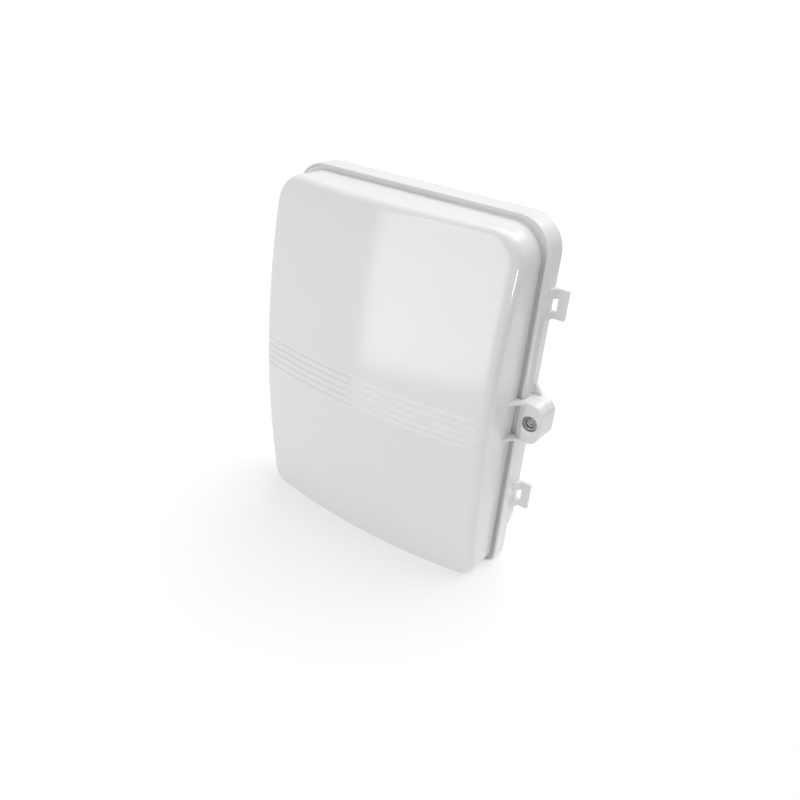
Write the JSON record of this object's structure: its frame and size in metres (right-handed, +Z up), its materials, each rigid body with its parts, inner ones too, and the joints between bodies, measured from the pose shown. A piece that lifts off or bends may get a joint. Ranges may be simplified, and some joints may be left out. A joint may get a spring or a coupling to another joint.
{
  "type": "fibre distribution wall box",
  "caption": "Wall box for fibre joints and patching: shallow housing with side ears, crowned hinged cover with quarter-turn lock, swing-out patch panel, splice cassette.",
  "frame": {"origin": "centre of the four wall-fixing holes, on the wall plane", "axes": "+Z up the wall, -Y out of the front, +X to the right seen from the front"},
  "size_m": [0.2841, 0.082, 0.32],
  "materials": {
    "housing": "gloss, cool white moulded ABS",
    "cover": "high gloss, cool white moulded ABS",
    "tray": "fine satin, light grey moulding",
    "steel": "zinc plated",
    "lock_metal": "dark plated, worn on the pin",
    "rubber": "matt moulded",
    "brass": "plain turned and stamped",
    "adapter_green": "satin",
    "ceramic": "polished",
    "cap_red": "satin",
    "cap_white": "satin",
    "module_black": "fine textured",
    "latch_blue": "satin",
    "clear_lid": "clear moulded, slightly blue-grey"
  },
  "bodies": {
    "housing": {"base_shell": "housing", "cover_gasket": "rubber", "cover_hinge_pins": "steel", "panel_hinge_pins": "steel", "splice_cassette": "tray", "splice_comb": "rubber", "cassette_screws": "steel", "feeder_grommets": "rubber", "drop_grommet": "rubber", "cable_clamps": "steel", "clamp_screws": "steel", "strength_posts": "brass", "strength_screws": "steel", "tie_bar": "tray", "tie_bar_screws": "steel"},
    "door": {"cover": "cover", "lock_nut": "steel"},
    "lock": {"lock_barrel": "lock_metal", "lock_cam": "steel", "cam_screw": "steel"},
    "patch_panel": {"swing_panel": "tray", "adapter_plate": "tray", "plate_screws": "steel", "patch_adapters": "adapter_green", "alignment_sleeves": "ceramic", "outer_dust_caps": "cap_red", "inner_dust_caps": "cap_white", "splitter_module": "module_black", "splitter_clips": "tray", "fibre_guides": "tray"},
    "latch": {"panel_latch": "latch_blue"},
    "splice_lid": {"cassette_lid": "clear_lid"}
  },
  "joints": [
    {"name": "cover_hinge", "type": "hinge", "parent": "housing", "child": "door", "pos_m": [-0.1294, -0.0205, 0], "axis": [0, 0, -1], "range_deg": [0, 120]},
    {"name": "lock_turn", "type": "hinge", "parent": "door", "child": "lock", "pos_m": [0.1353, -0.0197, -0.0045], "axis": [0, -1, 0], "range_deg": [0, 90]},
    {"name": "panel_swing", "type": "hinge", "parent": "housing", "child": "patch_panel", "pos_m": [-0.106, -0.027, 0], "axis": [0, 0, -1], "range_deg": [0, 90]},
    {"name": "latch_turn", "type": "hinge", "parent": "patch_panel", "child": "latch", "pos_m": [0.092, -0.026, 0.02], "axis": [0, -1, 0], "range_deg": [0, 90]},
    {"name": "lid_swing", "type": "hinge", "parent": "housing", "child": "splice_lid", "pos_m": [-0.086, -0.019, 0.07], "axis": [0, 0, -1], "range_deg": [0, 60]}
  ],
  "couplings": [
    {"joint": "panel_swing", "follows": "cover_hinge", "ratio": 0.75},
    {"joint": "lid_swing", "follows": "cover_hinge", "ratio": 0.5}
  ]
}
